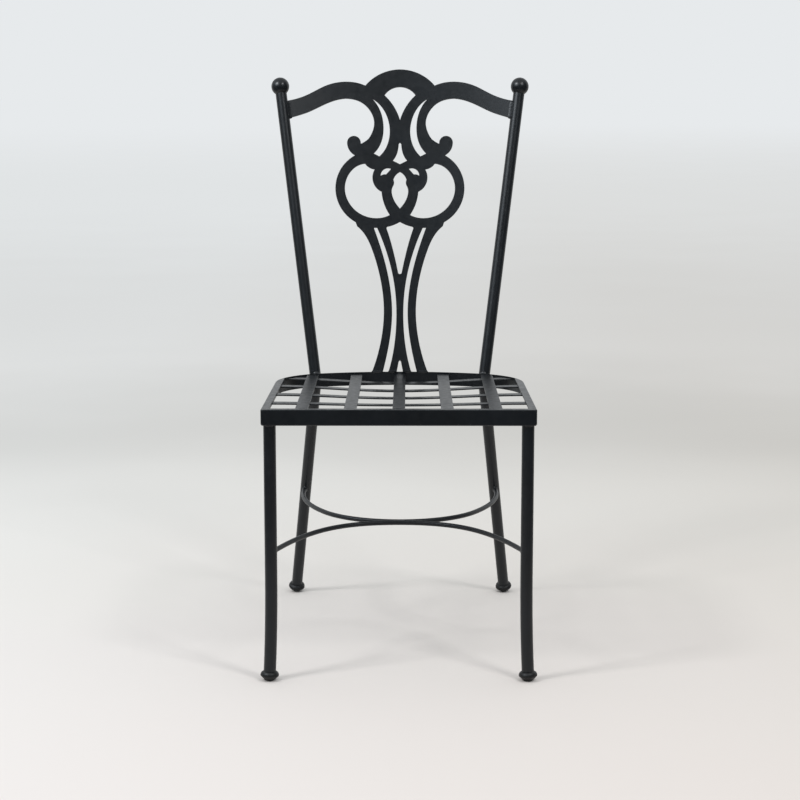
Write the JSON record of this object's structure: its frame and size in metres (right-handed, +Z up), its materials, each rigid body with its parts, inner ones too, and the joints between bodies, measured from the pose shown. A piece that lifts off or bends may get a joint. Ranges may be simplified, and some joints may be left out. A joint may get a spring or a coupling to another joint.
{
  "type": "garden chair",
  "caption": "Welded steel garden side chair with a pierced splat back, dished lattice seat of flat straps, curved rod stretchers, ball finials and splayed rear legs.",
  "frame": {"origin": "on the floor, at the middle of the bounding box in X and Y", "axes": "+Z up, the sitter faces -Y, +X to the right of someone who looks at the chair from in front"},
  "size_m": [0.4606, 0.583, 0.9802],
  "materials": {
    "tube_steel": "satin black powder coat",
    "rail_steel": "satin black powder coat",
    "strap_steel": "satin black powder coat",
    "rod_steel": "satin black powder coat",
    "panel_steel": "satin black powder coat",
    "finial_steel": "satin black powder coat",
    "glide_plastic": "moulded black nylon"
  },
  "bodies": {
    "root": {"back_panel": "panel_steel", "cross_strap_1": "strap_steel", "cross_strap_2": "strap_steel", "cross_strap_3": "strap_steel", "cross_strap_4": "strap_steel", "finial_left": "finial_steel", "finial_right": "finial_steel", "foot_glide_front_left": "glide_plastic", "foot_glide_front_right": "glide_plastic", "foot_glide_rear_left": "glide_plastic", "foot_glide_rear_right": "glide_plastic", "front_leg_left": "tube_steel", "front_leg_right": "tube_steel", "rear_post_left": "tube_steel", "rear_post_right": "tube_steel", "seat_front_rail": "rail_steel", "seat_hoop_rail": "rail_steel", "seat_strap_1": "strap_steel", "seat_strap_2": "strap_steel", "seat_strap_3": "strap_steel", "seat_strap_4": "strap_steel", "seat_strap_5": "strap_steel", "stretcher_front": "rod_steel", "stretcher_rear": "rod_steel"}
  },
  "joints": []
}
